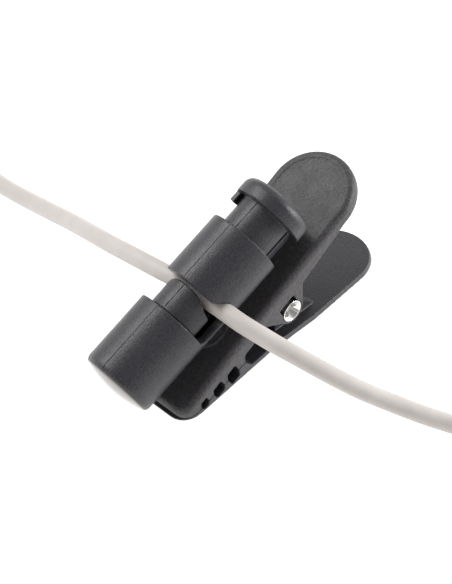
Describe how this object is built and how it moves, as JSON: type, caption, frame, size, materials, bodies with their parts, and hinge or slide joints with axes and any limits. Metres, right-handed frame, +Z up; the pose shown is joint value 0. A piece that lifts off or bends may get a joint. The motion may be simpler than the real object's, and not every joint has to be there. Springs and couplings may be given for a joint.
{
  "type": "lavalier microphone",
  "caption": "Clip-on microphone capsule on a thin lead that ends in a small jack plug, held by the sprung cylindrical grip of a swivelling garment clip.",
  "frame": {"origin": "on the surface that the closed clip stands on, at the middle of the footprint of the clip, grip and capsule", "axes": "+Z up; +X from the jaw tip to the handles; +Y along the lead from the grip to the capsule"},
  "size_m": [0.0493, 0.1475, 0.0232],
  "materials": {
    "black_plastic": "moulded, fine satin texture",
    "bright_steel": "bright plated",
    "spring_steel": "drawn wire",
    "lead_jacket": "soft matte warm grey jacket",
    "black_rubber": "soft matte",
    "satin_black_metal": "satin black coating",
    "element_can": "drawn can",
    "board": "green solder mask",
    "grille_steel": "dark perforated disc",
    "gold_plate": "bright gold plating"
  },
  "bodies": {
    "grip": {"grip_barrel": "black_plastic", "plunger_spring": "spring_steel", "swivel_screw": "bright_steel", "swivel_washer": "bright_steel", "mic_cable": "lead_jacket", "cable_coil": "lead_jacket", "cable_tail": "lead_jacket", "coil_tie": "black_rubber", "capsule_strain_relief": "black_rubber", "capsule_housing": "satin_black_metal", "capsule_gasket": "black_rubber", "capsule_element": "element_can", "capsule_board": "board", "capsule_grille": "grille_steel", "plug_strain_relief": "black_rubber", "plug_housing": "black_plastic", "plug_sleeve": "gold_plate", "plug_insulator": "black_plastic", "plug_ring": "gold_plate", "plug_tip": "gold_plate"},
    "plunger": {"plunger": "black_plastic"},
    "clip": {"upper_lever": "black_plastic", "hinge_pin": "bright_steel", "clip_spring": "spring_steel"},
    "lower_lever": {"lower_lever": "black_plastic"}
  },
  "joints": [
    {"name": "plunger_slide", "type": "slide", "parent": "grip", "child": "plunger", "axis": [-0.9206, 0.0523, -0.387], "range_m": [0, 0.0026], "stiffness_N_per_m": 300, "springref_m": -0.004, "deforming": ["plunger_spring"]},
    {"name": "clip_swivel", "type": "hinge", "parent": "grip", "child": "clip", "pos_m": [-0.00615, -0.0291, 0.0067], "axis": [-0.3875, 0, 0.9219], "range_deg": [-40, 40]},
    {"name": "jaw_hinge", "type": "hinge", "parent": "clip", "child": "lower_lever", "pos_m": [0.00366, -0.0291, 0.00556], "axis": [0, -1, 0], "range_deg": [0, 26], "stiffness_Nm_per_rad": 0.03, "springref_deg": -68.75, "deforming": ["clip_spring"]}
  ]
}
